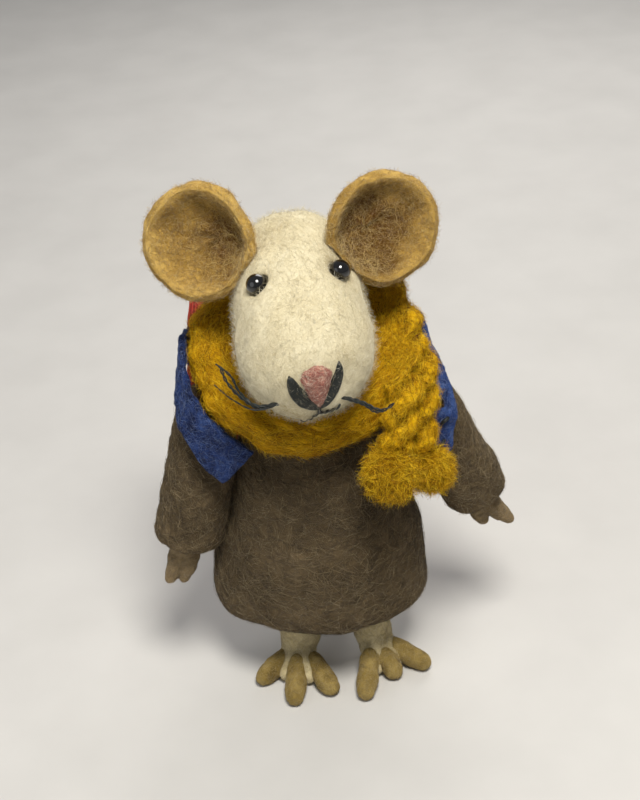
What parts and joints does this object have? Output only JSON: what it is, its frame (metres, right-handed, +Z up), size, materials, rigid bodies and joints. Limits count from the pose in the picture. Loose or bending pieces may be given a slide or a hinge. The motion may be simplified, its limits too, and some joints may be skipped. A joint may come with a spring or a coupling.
{
  "type": "felt mouse figure",
  "caption": "Standing felt mouse figure with cupped ears, bead eyes, a wool scarf, a tunic and a small backpack; wired head, arms, legs and tail can be posed.",
  "frame": {"origin": "on the floor under the middle of the bounding box, between the feet", "axes": "+Z up, the mouse faces -Y, +X is towards its left hand"},
  "size_m": [0.0989, 0.0794, 0.1495],
  "materials": {
    "cream_felt": "needle felt, short fibres",
    "ear_felt": "thin wet felt",
    "tan_felt": "rolled felt",
    "tail_felt": "rolled felt",
    "core_felt": "firm wool stuffing",
    "tunic_felt": "heathered wool felt",
    "scarf_wool": "loose wool roving",
    "tassel_wool": "loose wool fluff",
    "strap_felt": "thin wool felt",
    "bag_cloth": "woven wool cloth",
    "nose_wool": "needled wool",
    "eye_bead": "gloss",
    "black_thread": "twisted cotton",
    "wire": "satin"
  },
  "bodies": {
    "torso": {"body_core": "core_felt", "tunic": "tunic_felt", "spine_wire": "wire", "hip_wire": "wire", "shoulder_wire": "wire", "tail_pin": "wire", "scarf_ring": "scarf_wool", "scarf_end_front": "scarf_wool", "scarf_end_back": "scarf_wool", "tassel_front": "tassel_wool", "tassel_back": "tassel_wool", "backpack_bag": "bag_cloth", "strap_right": "strap_felt", "strap_left": "strap_felt", "strap_stitches": "black_thread"},
    "flap": {"backpack_flap": "bag_cloth"},
    "neck": {"neck": "cream_felt", "nod_wire": "wire"},
    "head": {"head": "cream_felt", "ear_right": "ear_felt", "ear_left": "ear_felt", "eye_right": "eye_bead", "eye_left": "eye_bead", "nose": "nose_wool", "nose_stitches": "black_thread", "mouth_stitches": "black_thread", "whiskers_right": "black_thread", "whiskers_left": "black_thread"},
    "fork_right": {"shoulder_fork_right": "wire"},
    "arm_right": {"sleeve_right": "tunic_felt", "arm_right": "tan_felt", "arm_wire_right": "wire", "hand_right": "tan_felt"},
    "fork_left": {"shoulder_fork_left": "wire"},
    "arm_left": {"sleeve_left": "tunic_felt", "arm_left": "tan_felt", "arm_wire_left": "wire", "hand_left": "tan_felt"},
    "leg_right": {"leg_right": "cream_felt", "leg_wire_right": "wire", "foot_right": "cream_felt", "toes_right": "tan_felt"},
    "leg_left": {"leg_left": "cream_felt", "leg_wire_left": "wire", "foot_left": "cream_felt", "toes_left": "tan_felt"},
    "tail": {"tail": "tail_felt"}
  },
  "joints": [
    {"name": "head_turn", "type": "hinge", "parent": "torso", "child": "neck", "pos_m": [-0.00475, 0.0016, 0.103], "axis": [0, -0.4226, 0.9063], "range_deg": [-35, 35]},
    {"name": "head_tip", "type": "hinge", "parent": "neck", "child": "head", "pos_m": [-0.00475, -0.0022, 0.11116], "axis": [-1, 0, 0], "range_deg": [0, 12]},
    {"name": "arm_swing_right", "type": "hinge", "parent": "torso", "child": "fork_right", "pos_m": [-0.03175, 0.0006, 0.0845], "axis": [-1, 0, 0], "range_deg": [-25, 22]},
    {"name": "arm_raise_right", "type": "hinge", "parent": "fork_right", "child": "arm_right", "pos_m": [-0.03175, 0.0006, 0.0845], "axis": [0, 1, 0], "range_deg": [0, 40]},
    {"name": "arm_swing_left", "type": "hinge", "parent": "torso", "child": "fork_left", "pos_m": [0.02475, 0.0006, 0.0845], "axis": [-1, 0, 0], "range_deg": [-25, 20]},
    {"name": "arm_raise_left", "type": "hinge", "parent": "fork_left", "child": "arm_left", "pos_m": [0.02475, 0.0006, 0.0845], "axis": [0, -1, 0], "range_deg": [0, 40]},
    {"name": "leg_swing_right", "type": "hinge", "parent": "torso", "child": "leg_right", "pos_m": [-0.01275, -0.0034, 0.037], "axis": [-1, 0, 0], "range_deg": [-20, 20]},
    {"name": "leg_swing_left", "type": "hinge", "parent": "torso", "child": "leg_left", "pos_m": [0.00825, -0.0034, 0.037], "axis": [-1, 0, 0], "range_deg": [-20, 10]},
    {"name": "tail_wag", "type": "hinge", "parent": "torso", "child": "tail", "pos_m": [-0.00175, 0.0136, 0.034], "axis": [0, 0, 1], "range_deg": [-30, 30]},
    {"name": "flap_lift", "type": "hinge", "parent": "torso", "child": "flap", "pos_m": [-0.00675, 0.0216, 0.0964], "axis": [1, 0, 0], "range_deg": [0, 35]}
  ]
}
